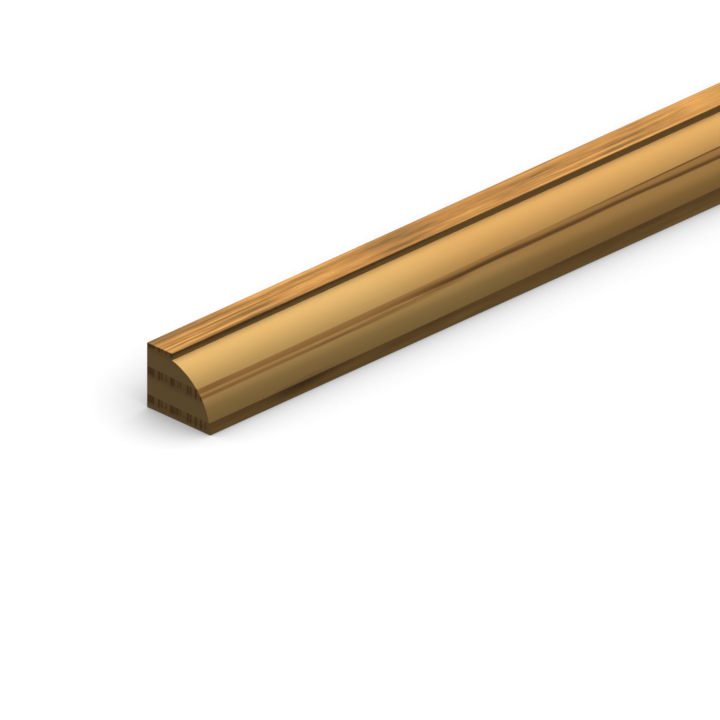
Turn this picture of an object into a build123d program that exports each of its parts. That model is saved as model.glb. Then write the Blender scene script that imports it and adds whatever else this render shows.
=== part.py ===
from build123d import *
import os

# Sash bead moulding: one stick of planed hardwood, machined to a quirked ovolo section.
# Millimetres, +Z up. The stick lies on its base along X, with its flat back towards +Y and
# its moulded face towards -Y. The origin is on the base, in the middle of its length and width.

# Driving dimensions
LENGTH = 2400.0        # one stick, as it is sold
WIDTH = 21.0           # from the flat back to the foot of the moulded face
HEIGHT = 17.0          # from the base to the flat on top
TOP_FLAT = 8.3         # width of the flat on top, from the back to the quirk
QUIRK_DEPTH = 1.8      # height of the square step from the flat down to the curve
OVOLO_RADIUS = 16.5    # the cutter's radius, for the convex curve from the quirk to the foot
FOOT_LAND = 0.6        # short upright left square at the foot of the curve
EASED_EDGE = 0.25      # rounding that sanding leaves on the four long outer edges

# Places on the section, across the stick (y) and up (z)
back_y = WIDTH / 2
foot_y = -WIDTH / 2
quirk_y = back_y - TOP_FLAT
quirk_z = HEIGHT - QUIRK_DEPTH

back_heel = (back_y, 0)
foot = (foot_y, 0)
curve_end = (foot_y, FOOT_LAND)
quirk_root = (quirk_y, quirk_z)
flat_front = (quirk_y, HEIGHT)
flat_back = (back_y, HEIGHT)


def bead_section():
    """The section that the moulding cutter leaves, seen along the stick."""
    with BuildSketch(Plane.YZ) as section:
        with BuildLine():
            Line(back_heel, foot)
            Line(foot, curve_end)
            RadiusArc(curve_end, quirk_root, OVOLO_RADIUS)
            Line(quirk_root, flat_front)
            Line(flat_front, flat_back)
            Line(flat_back, back_heel)
        make_face()
        # The quirk's root stays as sharp as the cutter's corner, and the four outer edges are eased.
        heights = section.vertices().group_by(Axis.Z)
        fillet(heights[0] + heights[-1], EASED_EDGE)
    return section.sketch


# The section is the same from end to end, and both ends are sawn square.
sash_bead = extrude(bead_section(), amount=LENGTH / 2, both=True)
sash_bead.label = "sash_bead"

os.makedirs("parts", exist_ok=True)
export_step(sash_bead, "parts/sash_bead.step")
print("sash_bead", sash_bead.bounding_box().size, "volume", round(sash_bead.volume), "mm3")
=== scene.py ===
# %% [markdown]
# A sash bead moulding
#
# The real thing is one stick of planed hardwood, run through a moulding cutter and sawn to length.
# Nothing is fastened to it, so the scene has one piece. What makes it look real is a crisp machined
# section, and a grain that runs through the whole stick and is cut open differently by each face.

# %% Load the frame and take the sizes from it
import math

import bpy
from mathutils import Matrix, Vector


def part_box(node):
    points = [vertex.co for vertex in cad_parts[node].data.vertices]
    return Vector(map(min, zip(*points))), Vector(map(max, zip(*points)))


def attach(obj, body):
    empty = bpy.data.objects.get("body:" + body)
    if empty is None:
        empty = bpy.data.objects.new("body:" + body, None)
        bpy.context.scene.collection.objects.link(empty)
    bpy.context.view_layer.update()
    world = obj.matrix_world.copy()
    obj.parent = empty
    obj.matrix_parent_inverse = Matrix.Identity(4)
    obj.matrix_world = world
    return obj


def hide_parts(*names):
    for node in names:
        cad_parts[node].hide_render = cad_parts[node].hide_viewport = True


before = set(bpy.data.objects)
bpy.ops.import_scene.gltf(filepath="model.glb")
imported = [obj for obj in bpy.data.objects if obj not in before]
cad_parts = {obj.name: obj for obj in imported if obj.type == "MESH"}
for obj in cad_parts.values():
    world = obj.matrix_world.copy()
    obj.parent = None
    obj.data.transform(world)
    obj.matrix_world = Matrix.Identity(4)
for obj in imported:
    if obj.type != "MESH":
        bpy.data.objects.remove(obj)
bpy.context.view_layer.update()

NODE = "sash_bead"
MM = 0.001
low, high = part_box(NODE)
LENGTH, WIDTH, HEIGHT = high - low
print("stick", [round(side / MM, 2) for side in (LENGTH, WIDTH, HEIGHT)], "mm")


def add_object(name, data):
    """A new object in the scene, made of the given mesh, camera or lamp."""
    made = bpy.data.objects.new(name, data)
    bpy.context.scene.collection.objects.link(made)
    return made


# %% [markdown]
# The camera
#
# Parallel edges of the stick stay parallel in the photograph, so it was taken without perspective,
# and the camera here is orthographic too. It looks down at 27 degrees, half way between the stick's
# end and its moulded face. A scale and the place of one corner in the picture then settle the framing.

# %% Place the camera by one corner of the stick
FRAME_PIXELS = 720
PIXELS_PER_MM = 4.2667
AZIMUTH = math.radians(-45)
ELEVATION = math.radians(27)
HEEL_PIXEL = (146.94, 406.97)      # the back lower corner of the near end, in the photograph
CAMERA_DISTANCE = 1.0

toward_camera = Vector((
    math.sin(AZIMUTH) * math.cos(ELEVATION),
    -math.cos(AZIMUTH) * math.cos(ELEVATION),
    math.sin(ELEVATION),
))
picture_right = Vector((math.cos(AZIMUTH), math.sin(AZIMUTH), 0))
picture_up = toward_camera.cross(picture_right)

heel = Vector((low.x, high.y, low.z))
right_of_heel = (FRAME_PIXELS / 2 - HEEL_PIXEL[0]) / PIXELS_PER_MM * MM
above_heel = (HEEL_PIXEL[1] - FRAME_PIXELS / 2) / PIXELS_PER_MM * MM
picture_centre = heel + picture_right * right_of_heel + picture_up * above_heel

camera_data = bpy.data.cameras.new("camera")
camera_data.type = "ORTHO"
camera_data.ortho_scale = FRAME_PIXELS / PIXELS_PER_MM * MM
camera = add_object("camera", camera_data)
camera.location = picture_centre + toward_camera * CAMERA_DISTANCE
camera.rotation_mode = "QUATERNION"
camera.rotation_quaternion = (-toward_camera).to_track_quat("-Z", "Y")
bpy.context.scene.camera = camera
print("the picture is", round(camera_data.ortho_scale / MM, 1), "mm wide")

# %% [markdown]
# The section
#
# A cutter leaves straight runs and true arcs: a flat back and base, a narrow flat top, a small square
# quirk, and the long convex ovolo down to the foot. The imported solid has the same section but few
# facets, because a tolerance that suits 2.4 m is coarse for a 17 mm curve. So the piece is swept again
# here with fine arcs. Each outline point carries its true normal, which keeps the flats flat and the
# curve smooth without any guess by the renderer.

# %% Runs of the outline, as points with normals
TOP_FLAT = 8.3 * MM
QUIRK_DEPTH = 1.8 * MM
OVOLO_RADIUS = 16.5 * MM
FOOT_LAND = 0.6 * MM
EASED_EDGE = 0.12 * MM

EASE_STEPS = 4
OVOLO_STEPS = 48
BASE_STEPS = 10
QUIRK_STEPS = 3
TOP_STEPS = 6
BACK_STEPS = 8


def straight(start, end, steps):
    """Evenly spaced points from start to end, with the one outward normal of a straight run."""
    run = (end - start).normalized()
    normal = Vector((-run.y, run.x))
    return [(start.lerp(end, step / steps), normal) for step in range(steps + 1)]


def bend(centre, radius, start, end, steps):
    """Points along an arc between two angles in degrees, with normals that turn as it does."""
    angles = [math.radians(start + (end - start) * step / steps) for step in range(steps + 1)]
    normals = [Vector((math.cos(angle), math.sin(angle))) for angle in angles]
    return [(centre + normal * radius, normal) for normal in normals]


def arc_centre(start, end, radius):
    """The centre of the arc that bulges to the left of a line from start to end."""
    half = (end - start) / 2
    away = Vector((half.y, -half.x)).normalized()
    return start + half + away * math.sqrt(radius ** 2 - half.length_squared)


def angle_of(point, centre):
    """The direction from the centre to the point, in degrees."""
    return math.degrees(math.atan2(point.y - centre.y, point.x - centre.x))


# %% The whole outline, once round the section
def section_runs():
    """The runs in order: base, foot, ovolo, quirk, top and back. Points are (across, up)."""
    back, front, top = WIDTH / 2, -WIDTH / 2, HEIGHT
    quirk = back - TOP_FLAT
    ease = EASED_EDGE
    curve_end = Vector((front, FOOT_LAND))
    quirk_root = Vector((quirk, top - QUIRK_DEPTH))
    ovolo = arc_centre(curve_end, quirk_root, OVOLO_RADIUS)
    foot_angle = angle_of(curve_end, ovolo) % 360
    return [
        bend(Vector((back - ease, ease)), ease, 0, -90, EASE_STEPS),
        straight(Vector((back - ease, 0)), Vector((front + ease, 0)), BASE_STEPS),
        bend(Vector((front + ease, ease)), ease, -90, -180, EASE_STEPS),
        straight(Vector((front, ease)), curve_end, 1),
        bend(ovolo, OVOLO_RADIUS, foot_angle, angle_of(quirk_root, ovolo), OVOLO_STEPS),
        straight(quirk_root, Vector((quirk, top - ease)), QUIRK_STEPS),
        bend(Vector((quirk + ease, top - ease)), ease, 180, 90, EASE_STEPS),
        straight(Vector((quirk + ease, top)), Vector((back - ease, top)), TOP_STEPS),
        bend(Vector((back - ease, top - ease)), ease, 90, 0, EASE_STEPS),
        straight(Vector((back, top - ease)), Vector((back, ease)), BACK_STEPS),
    ]


def join_runs(runs):
    """Joins the runs into one ring: its points, and its edges as (first, next, normal, normal)."""
    points, edges = [], []
    for run in runs:
        for (place, normal), (_, next_normal) in zip(run, run[1:]):
            edges.append((len(points), len(points) + 1, normal, next_normal))
            points.append(place)
    first, _, normal, next_normal = edges[-1]
    edges[-1] = (first, 0, normal, next_normal)
    return points, edges


ring, ring_edges = join_runs(section_runs())
girth = sum((ring[b] - ring[a]).length for a, b, _, _ in ring_edges)
print("section outline has", len(ring), "points and is", round(girth / MM, 1), "mm round")

# %% [markdown]
# The stick
#
# A Curve with a bevel profile could sweep the section, but it would give no say over normals or
# ends. Plain rings of vertices do, with a few short functions. The sawn ends get a hair of an arris, as
# a saw leaves once the whiskers are rubbed off. The faces are laid out in panels, side by side in a
# map for baking, because a stick laid out in one line would leave the map almost empty.

# %% Rings along the stick
PANELS = 6
STATIONS_PER_PANEL = 40
END_ARRIS = 0.04 * MM


def inset_ring(points, edges, depth):
    """The ring moved inwards by depth, along the mean of the normals that meet at each point."""
    inward = [Vector((0, 0)) for _ in points]
    for a, b, normal, next_normal in edges:
        inward[a] -= normal
        inward[b] -= next_normal
    return [place + turn.normalized() * depth for place, turn in zip(points, inward)]


def stations():
    """Places along the stick and which ring stands there: the arris rings are the inset ones."""
    count = PANELS * STATIONS_PER_PANEL
    full = [low.x + END_ARRIS + (LENGTH - 2 * END_ARRIS) * step / count for step in range(count + 1)]
    inner = inset_ring(ring, ring_edges, END_ARRIS)
    return [(low.x, inner)] + [(x, ring) for x in full] + [(high.x, inner)]


rows = stations()
vertices = [(x, place.x, place.y) for x, outline in rows for place in outline]
print("rings along the stick:", len(rows))

# %% The map for baking
BAKE_MAP = "OFBake"                # the name of the map laid out for baking; the map name that the export keeps
MAP_GAP = 1.5 * MM

panel_length = LENGTH / PANELS
strip = girth + MAP_GAP
map_size = PANELS * strip + HEIGHT + MAP_GAP
print("the map is", round(map_size / MM), "mm wide, for panels of", round(panel_length / MM), "mm")


def row_span(row):
    """Where a row of faces starts and ends in the map of its panel, and its normals' tilt."""
    panel = min(max(row - 1, 0) // STATIONS_PER_PANEL, PANELS - 1)
    start, end, tilt = rows[row][0], rows[row + 1][0], 0
    if row == 0:
        start, tilt = low.x - MAP_GAP / 2, -1
    if row == len(rows) - 2:
        end, tilt = high.x + MAP_GAP / 2, 1
    origin = low.x + panel * panel_length - MAP_GAP / 2
    return (start - origin) / map_size, (end - origin) / map_size, panel * strip, tilt


# %% Faces, with a normal and a place in the map for each corner
def side_faces():
    """The faces between neighbouring rings."""
    size = len(ring)
    faces, normals, places = [], [], []
    for row in range(len(rows) - 1):
        left, right, girth_done, tilt = row_span(row)
        for a, b, normal, next_normal in ring_edges:
            step = (ring[b] - ring[a]).length
            lower, upper = girth_done / map_size, (girth_done + step) / map_size
            girth_done += step
            faces.append([row * size + a, (row + 1) * size + a, (row + 1) * size + b, row * size + b])
            at_a = Vector((tilt, normal.x, normal.y)).normalized()
            at_b = Vector((tilt, next_normal.x, next_normal.y)).normalized()
            normals += [at_a, at_a, at_b, at_b]
            places += [(left, lower), (right, lower), (right, upper), (left, upper)]
    return faces, normals, places


def end_faces():
    """One face over each sawn end. Its corners run the way that turns it outwards."""
    size = len(ring)
    faces, normals, places = [], [], []
    for number, (facing, row) in enumerate(((-1, 0), (1, len(rows) - 1))):
        order = range(size) if facing < 0 else range(size - 1, -1, -1)
        faces.append([row * size + corner for corner in order])
        normals += [Vector((facing, 0, 0))] * size
        shift = MAP_GAP + number * (WIDTH + MAP_GAP) + WIDTH / 2
        outline = rows[row][1]
        places += [((shift + outline[corner].x) / map_size, (PANELS * strip + outline[corner].y) / map_size)
                   for corner in order]
    return faces, normals, places


# %% Make the mesh
faces, corner_normals, corner_places = [sides + ends for sides, ends in zip(side_faces(), end_faces())]
stick_mesh = bpy.data.meshes.new("sash_bead_moulding")
stick_mesh.from_pydata(vertices, [], faces)
bake_map = stick_mesh.uv_layers.new(name=BAKE_MAP)
bake_map.uv.foreach_set("vector", [part for place in corner_places for part in place])
stick_mesh.polygons.foreach_set("use_smooth", [True] * len(faces))
stick_mesh.normals_split_custom_set(corner_normals)
stick_mesh.validate()
stick = add_object("sash_bead_moulding", stick_mesh)
print("stick mesh has", len(vertices), "vertices and", len(faces), "faces")

# %% [markdown]
# Shader maths as Python
#
# The grain is a long chain of sums and masks. Written node by node it can't be read, so one small
# class wraps a socket and lets + - * / add the Math nodes. Everything else comes from one method.


# %% A socket that takes part in sums
class Value:
    """One output of a node. Arithmetic on it adds Math nodes to the same recipe."""

    def __init__(self, recipe, socket):
        self.recipe = recipe
        self.socket = socket

    def __getitem__(self, name):
        return Value(self.recipe, self.socket.node.outputs[name])

    def maths(self, operation, *others):
        inputs = dict(enumerate((self, *others)))
        return self.recipe.node("ShaderNodeMath", {"operation": operation}, inputs)

    def __add__(self, other):
        return self.maths("ADD", other)

    def __sub__(self, other):
        return self.maths("SUBTRACT", other)

    def __rsub__(self, other):
        return self.recipe.node("ShaderNodeMath", {"operation": "SUBTRACT"}, {0: other, 1: self})

    def __mul__(self, other):
        return self.maths("MULTIPLY", other)

    def __truediv__(self, other):
        return self.maths("DIVIDE", other)

    def __abs__(self):
        return self.maths("ABSOLUTE")

    __radd__ = __add__
    __rmul__ = __mul__


# %% One method for every other node
class Recipe:
    """The node tree of a material or world, made by naming nodes, their settings and their inputs."""

    def __init__(self, owner):
        owner.use_nodes = True
        self.tree = owner.node_tree
        self.tree.nodes.clear()

    def node(self, kind, settings, inputs):
        made = self.tree.nodes.new(kind)
        for name, setting in settings.items():
            if name == "stops":
                self.set_stops(made.color_ramp, setting)
            else:
                setattr(made, name, setting)
        for name, value in inputs.items():
            socket = made.inputs[name] if isinstance(name, int) else self.named(made.inputs, name)
            if isinstance(value, Value):
                self.tree.links.new(value.socket, socket)
            else:
                socket.default_value = value
        shown = [socket for socket in made.outputs if socket.enabled]
        return Value(self, shown[0]) if shown else None

    @staticmethod
    def named(sockets, name):
        return next(socket for socket in sockets if socket.name == name and socket.enabled)

    @staticmethod
    def set_stops(ramp, stops):
        while len(ramp.elements) < len(stops):
            ramp.elements.new(1.0)
        for element, (position, colour) in zip(ramp.elements, stops):
            element.position = position
            element.color = (*colour, 1.0)

    def rise(self, value, start, end, before=0.0, after=1.0):
        """The number before until start, the number after from end on, and a smooth step between."""
        return self.node("ShaderNodeMapRange", {"interpolation_type": "SMOOTHSTEP"}, {
            "Value": value,
            "From Min": start,
            "From Max": end,
            "To Min": before,
            "To Max": after,
        })

    def fall(self, value, start, end):
        """1 below start and 0 above end, with a smooth step between."""
        return self.rise(value, start, end, 1.0, 0.0)

    def hump(self, value, centre, reach):
        """1 at the centre, falling smoothly to 0 at a distance of reach on both sides."""
        return self.fall(abs(value - centre), 0.0, reach)

    def mix(self, share, first, second):
        """The first colour where share is 0 and the second where it is 1."""
        settings = {"data_type": "RGBA", "clamp_factor": True}
        return self.node("ShaderNodeMix", settings, {"Factor": share, "A": first, "B": second})

    def colour(self, red, green, blue):
        """A colour put together from three numbers that vary over the surface."""
        return self.node("ShaderNodeCombineColor", {}, {"Red": red, "Green": green, "Blue": blue})

    def place(self):
        """Where the shaded point is in its object, to be read as ["X"], ["Y"] and ["Z"]."""
        inside = self.node("ShaderNodeTexCoord", {}, {})["Object"]
        return self.node("ShaderNodeSeparateXYZ", {}, {"Vector": inside})


# %% [markdown]
# Where a point is in the wood
#
# All the figure is a function of one place in the stick, in millimetres: how far it is along from the
# near end, across from the flat back, and up from the base. That is why a band meets itself round
# every corner, as real grain does. An image wrapped round the stick would break at each edge.

# %% The wood's own coordinates
timber = bpy.data.materials.new("planed_hardwood")
wood = Recipe(timber)
in_stick = wood.place()
along = (in_stick["X"] - low.x) / MM
across = (high.y - in_stick["Y"]) / MM
up = in_stick["Z"] / MM
print("along, across and up run from 0 to", [round(side / MM) for side in (LENGTH, WIDTH, HEIGHT)])


def grain_noise(run, spread, seed, detail=2.0):
    """Noise drawn out along the grain: run and spread are its size along and across it, in mm."""
    stretched = wood.node("ShaderNodeCombineXYZ", {}, {
        "X": along / run + seed,
        "Y": across / spread + seed,
        "Z": up / spread,
    })
    noise = wood.node("ShaderNodeTexNoise", {}, {"Vector": stretched, "Scale": 1.0, "Detail": detail})
    return noise - 0.5


# %% [markdown]
# Tone
#
# Every pattern below gives a tone: 1 is pale wood, and lower is darker. The tone becomes a colour only
# at the end, so a pattern can be changed without touching a colour. A profile is a tone drawn against
# a distance in millimetres, as a ramp. It holds the soft and hard edges that a line of grain has.

# %% Helpers for tones
def profile(distance, first, last, stops):
    """A tone against a distance in mm, through the stops given as (distance, tone)."""
    share = (distance - first) / (last - first)
    greys = tuple(((place - first) / (last - first), (tone, tone, tone)) for place, tone in stops)
    return wood.node("ShaderNodeValToRGB", {"stops": greys}, {"Fac": share})


def blend(share, first, second):
    """The first number where share is 0 and the second where it is 1."""
    return first * (1 - share) + second * share


# %% [markdown]
# Growth layers
#
# The log was sawn so that its rings lie almost flat in the stick, about 7 mm apart. Each ring starts
# with a hard dark line at its top and fades downwards into pale wood. The rings aren't quite level:
# they dip a little towards the moulded face, and rise over the first quarter of a metre. A Wave Texture
# could draw bands, but all alike, with the same edge on both sides. So a ring is a depth below its
# top, which each pattern reads as it needs. Further along a slow noise moves the rings, because a
# wave that came back at even steps would look drawn.

# %% Depth below the top of a ring
RING_SPACING = 7.3
RING_TOP_AT_BACK = 10.92
DIP_TO_FRONT = 0.024
RISE_LENGTH = 260.0
RISE_HEIGHT = 1.28
DRIFT = 2.6
DRIFT_FROM, DRIFT_FULL = 180, 520
UNEVENNESS = 0.10
EDGE_BLUR = 0.14
LOW_RING_FULL, LOW_RING_GONE = 4.8, 5.4

share_risen = (along / RISE_LENGTH).maths("MINIMUM", 1.0)
wave = (1 - (share_risen * math.pi).maths("COSINE")) * (RISE_HEIGHT / 2)
drift = grain_noise(run=330, spread=60, seed=1.7) * wood.rise(along, DRIFT_FROM, DRIFT_FULL) * DRIFT
unevenness = grain_noise(run=70, spread=9, seed=3.1) * UNEVENNESS
ring_top = RING_TOP_AT_BACK - across * DIP_TO_FRONT + wave + drift + unevenness
depth = (ring_top - up).maths("FLOORED_MODULO", RING_SPACING)
level_depth = depth - wave
upper_edge = wood.rise(depth, 0.0, EDGE_BLUR)
low_ring = wood.fall(up, LOW_RING_FULL, LOW_RING_GONE)
ring_tops = [round(RING_TOP_AT_BACK - RING_SPACING * number, 2) for number in (0, 1)]
print("ring tops at the near end:", ring_tops, "mm up")

# %% [markdown]
# Figure on the long faces
#
# Below a ring's top line there are finer lines: a brown body, and under it either a pale line with an
# olive one below, or one hard dark line. Along the stick the first kind gives way to the second and
# comes back. Each could be a stack of masks, but a profile over the depth is one ramp, and holds the
# edge of every line. A slow mask along the stick blends the two kinds.

# %% The two kinds of ring, and the darker lowest ring
SOFT_KIND = (
    (-1.0, 0.70), (0.1, 0.68), (0.80, 0.66), (0.92, 0.68), (1.16, 1.0), (1.26, 0.95),
    (1.45, 0.82), (1.70, 0.64), (1.92, 0.62), (2.22, 1.0),
)
HARD_KIND = (
    (-1.0, 0.72), (0.08, 0.71), (0.26, 0.62), (0.44, 0.40), (0.58, 0.30), (0.76, 0.26),
    (0.90, 0.38), (1.08, 0.84), (1.22, 1.0),
)
LOWEST_RING = (
    (0.0, 0.60), (0.30, 0.49), (1.0, 0.53), (1.6, 0.59), (2.1, 0.65), (2.6, 0.67), (3.6, 0.86), (4.2, 1.0),
)
HARD_FROM, HARD_FULL = 52.0, 92.0
SOFT_AGAIN_FROM, SOFT_AGAIN_FULL = 215.0, 330.0
TOP_LINE_DEPTH, TOP_LINE_REACH, TOP_LINE_DARKNESS = 0.21, 0.20, 0.54
TOP_LINE_FROM, TOP_LINE_FULL = 112.0, 160.0

wander = grain_noise(run=24, spread=1.4, seed=8.4, detail=3.0)
mottle = grain_noise(run=15, spread=1.3, seed=5.7, detail=4.0)
soft_stretches = wood.rise(grain_noise(run=260, spread=90, seed=2.6), -0.1, 0.1)
turns_soft_again = wood.rise(along, SOFT_AGAIN_FROM, SOFT_AGAIN_FULL) * soft_stretches
kind = wood.rise(along, HARD_FROM, HARD_FULL) * (1 - turns_soft_again)
soft_ring = profile(level_depth + wander * 0.30, -1.0, 3.0, SOFT_KIND)
line_sway = wood.hump(along, 138, 24) * 0.10 - wood.hump(along, 86, 15) * 0.15
hard_ring = profile(level_depth + line_sway + wander * 0.42, -1.0, 3.0, HARD_KIND)
lowest_ring = profile(depth + wander * 0.35, 0.0, 5.0, LOWEST_RING)

top_line = wood.hump(depth, TOP_LINE_DEPTH, TOP_LINE_REACH)
top_line = top_line * wood.rise(along, TOP_LINE_FROM, TOP_LINE_FULL)
ring_tone = blend(kind, soft_ring, hard_ring) + mottle * 0.10 * (1 - kind * 0.4)
ring_tone = ring_tone - top_line * TOP_LINE_DARKNESS
ring_tone = blend(low_ring, ring_tone, lowest_ring + mottle * 0.34)
print("nodes so far, with the rings of the long faces:", len(wood.tree.nodes))

# %% Blots that stand out on the long faces
FACE_BLOTS = (
    # along, height, half length and half height in mm, and the change of tone
    (30.5, 2.3, 17, 2.2, -0.30),
    (45, 3.0, 12, 1.2, -0.10),
    (4, 10.2, 12, 0.8, -0.12),
    (74, 2.9, 15, 0.8, -0.06),
    (84, 1.6, 11, 1.3, 0.10),
    (121, 3.3, 10, 0.9, -0.09),
    (144, 3.3, 10, 1.0, -0.08),
    (161, 1.9, 12, 1.2, 0.07),
    (84, 10.1, 15, 0.45, -0.09),
    (100, 10.2, 14, 0.42, -0.16),
    (92, 9.75, 20, 0.4, -0.10),
    (80, 9.1, 15, 0.6, -0.30),
    (44, 8.7, 13, 0.4, -0.12),
    (65, 9.0, 14, 0.5, -0.14),
)

blot_along = along + grain_noise(run=9, spread=1.2, seed=4.4, detail=3.0) * 7
blot_up = up + grain_noise(run=11, spread=1.0, seed=7.2, detail=3.0) * 0.8


def blots(marks, first, second):
    """The sum of soft oval marks, each strongest at its middle and gone at its half sizes."""
    spot = wood.node("ShaderNodeCombineXYZ", {}, {"X": first, "Y": second})
    total = 0.0
    for first_middle, second_middle, first_half, second_half, change in marks:
        from_middle = wood.node("ShaderNodeVectorMath", {"operation": "MULTIPLY_ADD"}, {
            0: spot,
            1: (1 / first_half, 1 / second_half, 0),
            2: (-first_middle / first_half, -second_middle / second_half, 0),
        })
        outwards = wood.node("ShaderNodeVectorMath", {"operation": "LENGTH"}, {0: from_middle})
        total = wood.rise(outwards, 0.0, 1.0, change, 0.0) + total
    return total


face_tone = 1 - upper_edge * (1 - ring_tone - blots(FACE_BLOTS, blot_along, blot_up))
print("blots on the long faces:", len(FACE_BLOTS))

# %% [markdown]
# Figure on the flat top
#
# The top is planed nearly level with a ring, so it cuts the ring open at a very flat angle. The lines that
# are thin on the curve spread here into long streaks and patches, in the browns of the ring's body. A noise
# drawn out along the grain gives the finer ones, and the marks that stand out are placed one by one near
# the end that the photograph shows. Further along, a broader noise takes over from them.

# %% Streaks and patches on the top
TOP_TONE = 0.468
FINE_SHARE = 0.52
CLOUD_SHARE = 0.30
BROAD_SHARE = 0.55
TOP_MARKS = (
    # along, across, half length and half width in mm, and the change of tone
    (0, 0.9, 30, 2.3, -0.23),
    (24, 2.0, 28, 0.65, -0.24),
    (50, 0.8, 28, 1.35, 0.25),
    (34, 1.5, 14, 0.8, 0.08),
    (10, 3.25, 38, 0.6, 0.18),
    (26, 3.9, 32, 0.42, -0.25),
    (52, 2.2, 22, 0.7, -0.13),
    (54, 5.3, 24, 2.0, 0.19),
    (28, 5.75, 15, 1.0, -0.30),
    (5, 5.05, 15, 0.35, -0.15),
    (3, 5.8, 14, 0.5, 0.22),
    (10, 6.3, 17, 0.38, -0.20),
    (16, 6.95, 40, 0.55, 0.22),
    (42, 6.9, 12, 0.6, 0.09),
    (25, 7.8, 26, 0.7, -0.27),
    (0, 7.5, 10, 0.4, 0.13),
    (77, 2.7, 15, 2.5, -0.18),
    (76, 4.5, 24, 6.0, -0.06),
    (84, 0.6, 7, 0.5, -0.12),
    (88, 3.9, 14, 1.4, -0.17),
    (96, 1.4, 9, 0.6, 0.09),
    (78, 6.8, 15, 0.95, -0.29),
    (86, 6.3, 7, 0.5, -0.10),
    (100, 5.6, 13, 0.8, 0.11),
    (106, 6.7, 10, 0.5, 0.09),
    (96, 8.1, 18, 0.6, 0.15),
    (135, 1.3, 42, 0.9, 0.11),
    (123, 3.0, 21, 1.1, -0.20),
    (113, 5.3, 12, 1.2, -0.08),
    (142, 5.0, 14, 0.45, -0.12),
    (142, 5.75, 28, 0.65, 0.24),
    (150, 6.8, 18, 0.8, -0.26),
    (150, 8.0, 58, 0.95, 0.25),
    (154, 4.5, 15, 1.0, -0.27),
    (157, 2.2, 12, 0.9, -0.08),
    (167, 3.2, 9, 0.6, 0.12),
    (173, 1.1, 16, 1.3, 0.13),
    (180, 3.5, 17, 6.0, 0.17),
)

streak_along = along + grain_noise(run=14, spread=2.2, seed=2.2, detail=3.0) * 12
streak_across = across + grain_noise(run=30, spread=2.0, seed=6.1, detail=2.0) * 0.9
further = wood.rise(along, 165.0, 230.0)
fine_streaks = grain_noise(run=26, spread=0.36, seed=4.6, detail=4.0)
cloud = grain_noise(run=6, spread=0.9, seed=1.9, detail=3.0)
broad_figure = grain_noise(run=34, spread=1.3, seed=3.3, detail=3.0)
top_tone = (
    TOP_TONE
    + fine_streaks * FINE_SHARE
    + cloud * CLOUD_SHARE
    + broad_figure * BROAD_SHARE * further
    + blots(TOP_MARKS, streak_along, streak_across)
)
print("marks on the top:", len(TOP_MARKS))

# %% [markdown]
# End grain
#
# On a sawn end the rings show as bands, and the vessels in them as short upright dashes that hang from
# the ring's top line. A noise stretched upwards would give dashes too, but anywhere. These stand at
# the same places in every band, so one list across the end draws them all.

# %% Dashes on the sawn ends
DASHES = (
    # start and end across the stick in mm, how dark, and how far down the ring
    (0.2, 2.5, 0.85, 2.3),
    (3.65, 4.3, 1.0, 2.4),
    (4.65, 5.2, 0.9, 2.0),
    (6.15, 6.6, 0.65, 2.0),
    (7.7, 8.5, 1.0, 2.3),
    (8.5, 9.3, 0.72, 2.3),
    (10.05, 10.5, 0.6, 2.0),
    (10.9, 11.35, 0.7, 1.7),
    (13.2, 13.9, 0.85, 2.6),
    (14.25, 14.75, 1.0, 2.5),
    (15.9, 16.5, 1.0, 2.7),
    (17.6, 18.2, 0.95, 2.6),
    (19.2, 19.6, 0.8, 2.2),
)
DASH_BLUR = 0.30
DASH_TONE = 0.45
BETWEEN_TONE = 0.885
MERGED_DARKNESS = 0.8
VESSEL_LINES = 0.16

end_wander = grain_noise(run=4, spread=0.35, seed=1.3)
dash_place = across + grain_noise(run=5, spread=1.1, seed=6.6) * 0.2
hanging = depth + end_wander * 0.9
dashes = 0.0
for start, end, darkness, hang in DASHES:
    middle, half = (start + end) / 2, (end - start) / 2
    sides = wood.rise(abs(dash_place - middle), half - DASH_BLUR / 2, half + DASH_BLUR / 2, darkness, 0.0)
    dashes = sides * wood.fall(hanging, hang - 0.6, hang + 0.3) + dashes

merged = wood.hump(across, 9.9, 1.5) * low_ring * wood.fall(hanging, 1.3, 2.2)
dashes = dashes.maths("MAXIMUM", merged * MERGED_DARKNESS)

ring_gap = wood.rise(hanging, 1.2, 2.2, BETWEEN_TONE, 1.0)
in_ring = wood.rise(depth, 0.0, 0.12)
vessel_lines = grain_noise(run=9, spread=0.11, seed=5.1) * in_ring * wood.fall(depth, 2.2, 3.0)
end_tone = 1 - in_ring * (1 - blend(dashes, ring_gap, DASH_TONE)) + vessel_lines * VESSEL_LINES
print("dashes in each ring of the end:", len(DASHES))

# %% [markdown]
# One tone for the whole surface
#
# The patterns are put together by where the point is: on the flat top, in the quirk, on a sawn end or
# on another face. A material for each group of faces would do it too, but they would part at hard
# seams. Masks keep one material with soft edges between its patterns.

# %% Choose the pattern by face
QUIRK_ACROSS = TOP_FLAT / MM
QUIRK_UP = (HEIGHT - QUIRK_DEPTH) / MM

on_top = wood.rise(up, HEIGHT / MM - 0.22, HEIGHT / MM - 0.06)
from_end = LENGTH / MM / 2 - abs(along - LENGTH / MM / 2)
on_end = wood.fall(from_end, 0.02, 0.05)
above_root = wood.rise(up, QUIRK_UP - 0.02, QUIRK_UP + 0.06)
in_quirk = above_root * wood.rise(across, QUIRK_ACROSS - 0.3, QUIRK_ACROSS - 0.1)
print("the quirk is", round(QUIRK_ACROSS, 2), "mm from the back, and its root", round(QUIRK_UP, 2), "mm up")

tone = blend(on_top, face_tone, top_tone)
tone = blend(on_end, tone, end_tone)
fibre = grain_noise(run=22, spread=0.16, seed=9.9)

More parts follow.
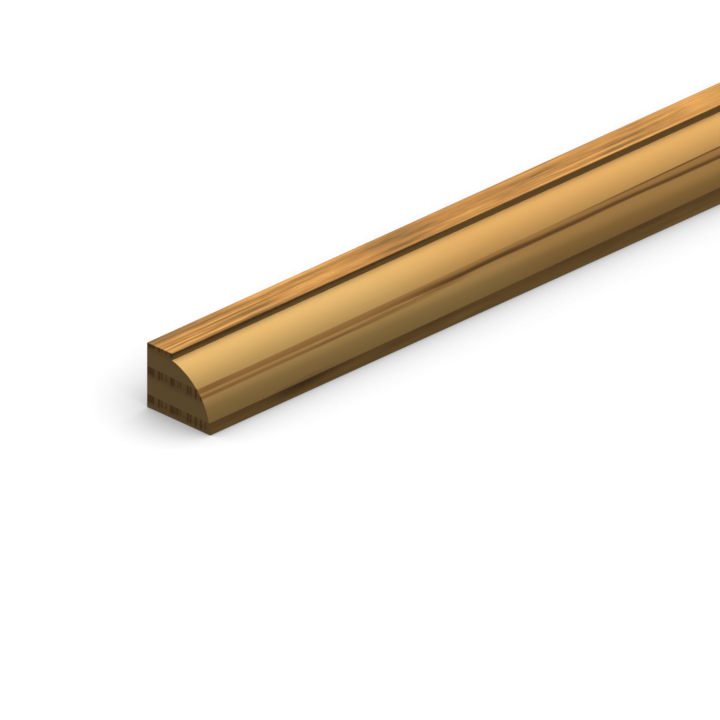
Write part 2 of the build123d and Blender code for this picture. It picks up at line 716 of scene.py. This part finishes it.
# %% [markdown]
# Colours of the wood
#
# Pale wood is yellow near the end and warmer further on. The dark parts of the upper rings are red
# browns, and those of the lowest ring are greyer. One ramp can't give two browns for one tone, so
# there are two ramps from tone to colour, and a mask says which one holds.

# %% From tone to colour
PALE = (0.855, 0.522, 0.174)
WARM_PALE = (0.825, 0.452, 0.138)
RED_BROWNS = (
    (0.20, (0.190, 0.103, 0.036)),
    (0.31, (0.272, 0.139, 0.045)),
    (0.44, (0.386, 0.182, 0.054)),
    (0.53, (0.462, 0.224, 0.068)),
    (0.66, (0.580, 0.292, 0.088)),
    (0.88, (0.772, 0.400, 0.122)),
    (1.00, (0.855, 0.475, 0.148)),
)
GREY_BROWNS = (
    (0.20, (0.180, 0.102, 0.040)),
    (0.30, (0.262, 0.147, 0.054)),
    (0.42, (0.368, 0.208, 0.072)),
    (0.54, (0.474, 0.258, 0.085)),
    (0.68, (0.596, 0.345, 0.113)),
    (1.00, (0.855, 0.522, 0.174)),
)

patchy = grain_noise(run=45, spread=6, seed=7.7, detail=3.0) * 0.30
patchy = patchy + grain_noise(run=240, spread=20, seed=8.8) * wood.rise(along, 170, 420) * 3.0
warmth = wood.rise(wave + patchy - wood.fall(up, 8.0, 10.0) * 0.18, 0.12, 0.40)
pale = wood.mix(warmth, (*PALE, 1.0), (*WARM_PALE, 1.0))
olive_line = wood.hump(level_depth, 1.85, 0.5) * wood.rise(along, 12, 34) * (1 - kind) * 0.7
greyness = blend(on_end, low_ring.maths("MAXIMUM", olive_line) * (1 - on_top), dashes * 0.5)
red_brown = wood.node("ShaderNodeValToRGB", {"stops": RED_BROWNS}, {"Fac": tone})
grey_brown = wood.node("ShaderNodeValToRGB", {"stops": GREY_BROWNS}, {"Fac": tone})
brown = wood.mix(greyness, red_brown["Color"], grey_brown["Color"])
wood_colour = wood.mix(wood.rise(tone, 0.86, 0.99), brown, pale)
print("stops from tone to colour:", len(RED_BROWNS), "and", len(GREY_BROWNS))

# %% [markdown]
# The quirk
#
# The small upright face of the quirk is a dull olive, darker than the wood round it. This is painted shade
# of the recess, which holds back the light that the lit curve below bounces onto it. Towards its upper
# edge, over the first stretch of the stick, it is darker still, for a ring's brown band that crosses it. A
# mask of hollow places could find it, but the quirk is always at the same place in the section, so its own
# height is a surer mask.

# %% The upright face of the quirk, in painted shade
# painted shade: both quirk colours are darker than the wood, so that the recess stays dark
QUIRK_SHADED_OLIVE = (0.300, 0.215, 0.095)
QUIRK_SHADED_BROWN = (0.165, 0.110, 0.054)

first_stretch = wood.fall(along, 74, 100)
later_patches = wood.rise(grain_noise(run=180, spread=50, seed=5.5), 0.02, 0.20)
later_stretch = later_patches * wood.rise(along, 200, 260)
quirk_upper_height = up + wood.hump(along, 22, 30) * 0.30 + cloud * 0.20
quirk_upper_dark = wood.rise(quirk_upper_height, QUIRK_UP + 0.65, QUIRK_UP + 1.55) * (first_stretch + later_stretch)
quirk_painted_shade = wood.mix(quirk_upper_dark, (*QUIRK_SHADED_OLIVE, 1.0), (*QUIRK_SHADED_BROWN, 1.0))
# the quirk's painted shade takes the place of the wood's colour on its upright face
wood_colour = wood.mix(in_quirk * (1 - on_top) * (1 - on_end), wood_colour, quirk_painted_shade)
print("nodes so far, with the quirk:", len(wood.tree.nodes))

# %% [markdown]
# Light and dark touches
#
# A sawn end drinks more finish than a planed face, so it is darker, with a haze below each ring. Near its
# base the end is painted a little lighter: painted light that evens out its darker shading low down. On the
# moulded face the wood under a ring glows a little. All of these could go into the colours, but a shade
# that multiplies them is easier to judge by itself.

# %% The last light and dark touches
END_SHADE = 0.87
FACE_SHADE = 1.03
UNDER_GLOW = 0.15
HAZE = 0.21
FIBRE_SHADE = 0.07
CLOUD_SHADE = 0.03

lower_gold = wood.fall(up, 9.0, 10.5)
under_glow = wood.hump(level_depth, 2.5, 1.9) * lower_gold * (1 - low_ring)
face_shade = FACE_SHADE + under_glow * (UNDER_GLOW + kind * 0.04) - lower_gold * 0.04
ring_haze = wood.rise(hanging, 0.9, 1.7) * wood.fall(hanging, 1.9, 4.1)
end_haze = 1 - ring_haze * (1 - dashes * 0.6) * HAZE
# painted light: the end is 7% lighter at its base than at 12 mm up, which evens out its darker shading low
# down
end_shade_and_painted_light = end_haze * wood.rise(up, 0.0, 12.0, END_SHADE + 0.07, END_SHADE)
shade = blend(on_end, face_shade, end_shade_and_painted_light) + fibre * FIBRE_SHADE + cloud * CLOUD_SHADE
green_share = 1 + on_end * 0.04 - on_top * 0.02
blue_share = 1 + on_end * 0.22 - on_top * 0.17
tint = wood.colour(shade, shade * green_share, shade * blue_share)
finished_colour = wood.node(
    "ShaderNodeMix",
    {"data_type": "RGBA", "blend_type": "MULTIPLY"},
    {"Factor": 1.0, "A": wood_colour, "B": tint},
)

# %% [markdown]
# The finish
#
# A thin satin finish over fine sanding leaves fibres that can just be felt, and no clear highlight.
# Real relief would take millions of faces on a stick this long. A shallow bump stands for it, and the
# roughness follows the same fibres.

# %% Roughness, relief and the finished surface
ROUGHNESS = 0.62
SHINE = 0.01                       # the photograph shows no highlight on the thin satin finish
FIBRE_RELIEF = 0.04 * MM
RELIEF_STRENGTH = 0.15

relief = fibre * 0.6 + tone * 0.4
bump = wood.node("ShaderNodeBump", {}, {
    "Strength": RELIEF_STRENGTH,
    "Distance": FIBRE_RELIEF,
    "Height": relief,
})
surface = wood.node("ShaderNodeBsdfPrincipled", {}, {
    "Base Color": finished_colour,
    "Roughness": ROUGHNESS + fibre * 0.10 - tone * 0.06,
    "Specular IOR Level": SHINE,
    "Normal": bump,
})
wood.node("ShaderNodeOutputMaterial", {}, {"Surface": surface})
stick_mesh.materials.append(timber)
print("the wood's recipe has", len(wood.tree.nodes), "nodes")

# %% [markdown]
# The piece and the model that carries it
#
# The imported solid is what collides, and this mesh is what is seen. Nothing moves against anything
# else, so the mesh rides on the one body and takes the solid's place.

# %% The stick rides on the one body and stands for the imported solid
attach(stick, "root")
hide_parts(NODE)

# %% [markdown]
# The floor
#
# The photograph has a white floor with a soft shadow that hugs the stick. The floor's white is what the
# camera sees, with a painted shadow: it is darkened by how much of the sky the stick hides from each point,
# which is what a large soft studio light does, and the lamps cast none of it. The lamps shine from beyond
# the far end, so past the near end the painted shadow is a touch deeper. For the light that reaches the
# wood the floor is dark, so that the upright faces stay in shade, as they do in the photograph.

# %% Floor
FLOOR_SIZE = 14.0

floor_mesh = bpy.data.meshes.new("floor")
half_floor = FLOOR_SIZE / 2
floor_corners = [(x * half_floor, y * half_floor, low.z) for x, y in ((-1, -1), (1, -1), (1, 1), (-1, 1))]
floor_mesh.from_pydata(floor_corners, [], [(0, 1, 2, 3)])
floor = add_object("floor", floor_mesh)
print("the floor is", FLOOR_SIZE, "m wide")

floor_material = bpy.data.materials.new("white_floor")
paint = Recipe(floor_material)


def seen_directly(recipe):
    """1 for rays that show the surroundings as they look: from the camera, in gloss or through glass."""
    path = recipe.node("ShaderNodeLightPath", {}, {})
    camera_or_gloss = path["Is Camera Ray"].maths("MAXIMUM", path["Is Glossy Ray"])
    return camera_or_gloss.maths("MAXIMUM", path["Is Transmission Ray"])


# %% What the camera sees of the floor
OPEN_LEVEL = 1.130
SHADE_DEPTH = 1.74
SHADE_SOFTENING = 0.60
END_SHADOW = 0.026
FLOOR_BOUNCE = 0.05

# painted shadow: the floor's white is darkened by how much sky the stick hides, and by a mask past the near
# end
open_sky = paint.node("ShaderNodeAmbientOcclusion", {"samples": 16}, {"Distance": 1.0})["AO"]
hidden_sky = 1 - open_sky
painted_shadow_past_end = paint.fall((paint.place()["X"] - low.x) / MM, -1.0, 10.0)
painted_shadow_past_end = painted_shadow_past_end * paint.rise(hidden_sky, 0.02, 0.09) * paint.fall(hidden_sky, 0.25, 0.42)
shadow = hidden_sky * (SHADE_DEPTH - hidden_sky * SHADE_SOFTENING) + painted_shadow_past_end * END_SHADOW
floor_level = OPEN_LEVEL - shadow
floor_grey = paint.colour(floor_level, floor_level, floor_level)
white = paint.node("ShaderNodeEmission", {}, {"Color": floor_grey, "Strength": 1.0})
dull = paint.node("ShaderNodeBsdfDiffuse", {}, {"Color": (FLOOR_BOUNCE,) * 3 + (1.0,)})
floor_shader = paint.node("ShaderNodeMixShader", {}, {0: seen_directly(paint), 1: dull, 2: white})
paint.node("ShaderNodeOutputMaterial", {}, {"Surface": floor_shader})
floor_mesh.materials.append(floor_material)
print("the floor's recipe has", len(paint.tree.nodes), "nodes")

# %% [markdown]
# The sky
#
# A studio's walls send a faint light from all sides. The camera sees them as white, but a sky that
# lit the wood as brightly would take the shading out of the curve. So the wood gets a dim even light.

# %% Sky
SKY_LEVEL = 0.19
WHITE = (1.0, 1.0, 1.0, 1.0)

world = bpy.data.worlds.new("studio")
sky = Recipe(world)
white_sky = sky.node("ShaderNodeBackground", {}, {"Color": WHITE, "Strength": 1.0})
dim_sky = sky.node("ShaderNodeBackground", {}, {"Color": WHITE, "Strength": SKY_LEVEL})
sky_shader = sky.node("ShaderNodeMixShader", {}, {0: seen_directly(sky), 1: dim_sky, 2: white_sky})
sky.node("ShaderNodeOutputWorld", {}, {"Surface": sky_shader})
bpy.context.scene.world = world
print("the sky lights the wood at", SKY_LEVEL, "and is seen as 1")

# %% [markdown]
# The lamps
#
# The light is broad and soft, from behind and above: the flat top and the crown of the curve are lit,
# and the upright faces are in shade. Area lamps would fade along the stick, and distant ones light
# it evenly from end to end. The key casts the soft shade below the quirk, the skim lights the
# crown without a shadow, and the fill lifts the upright faces on the moulded side a little.


# %% Lamps
def lamp(name, toward, level, softness, casts_shadow=True):
    """A distant soft lamp. A white surface that faces it squarely renders at the given level."""
    data = bpy.data.lights.new(name, "SUN")
    data.energy = level * math.pi
    data.angle = math.radians(softness)
    data.use_shadow = casts_shadow
    light = add_object(name, data)
    light.rotation_mode = "QUATERNION"
    light.rotation_quaternion = Vector(toward).to_track_quat("Z", "Y")
    light.location = toward


lamp("key", toward=(0.50, 0.433, 0.75), level=0.776, softness=46)
lamp("skim", toward=(0.50, 0.557, 0.663), level=0.795, softness=40, casts_shadow=False)
lamp("fill", toward=(0.35, -0.75, 0.55), level=0.062, softness=30)
bpy.context.scene.view_settings.view_transform = "Standard"
print("lamps:", len(bpy.data.lights))
